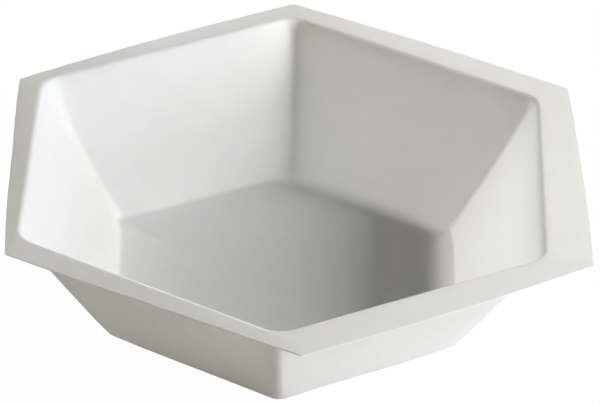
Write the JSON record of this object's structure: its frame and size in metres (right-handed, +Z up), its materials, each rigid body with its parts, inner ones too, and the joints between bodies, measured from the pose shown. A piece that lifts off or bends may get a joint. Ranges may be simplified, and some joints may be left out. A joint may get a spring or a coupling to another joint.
{
  "type": "weighing boat",
  "caption": "Shallow six-sided weighing boat with leaning walls, a flat floor and a flat rim, formed in one piece from thin white plastic sheet.",
  "frame": {"origin": "centre of the floor's underside, on the axis of the bowl", "axes": "+Z up through the mouth; corners of the bowl point along +Y and -Y, and flat sides face +X and -X"},
  "size_m": [0.0756, 0.0853, 0.0197],
  "materials": {
    "sheet": "matte white, slightly translucent"
  },
  "bodies": {
    "root": {"weighing_boat": "sheet"}
  },
  "joints": []
}
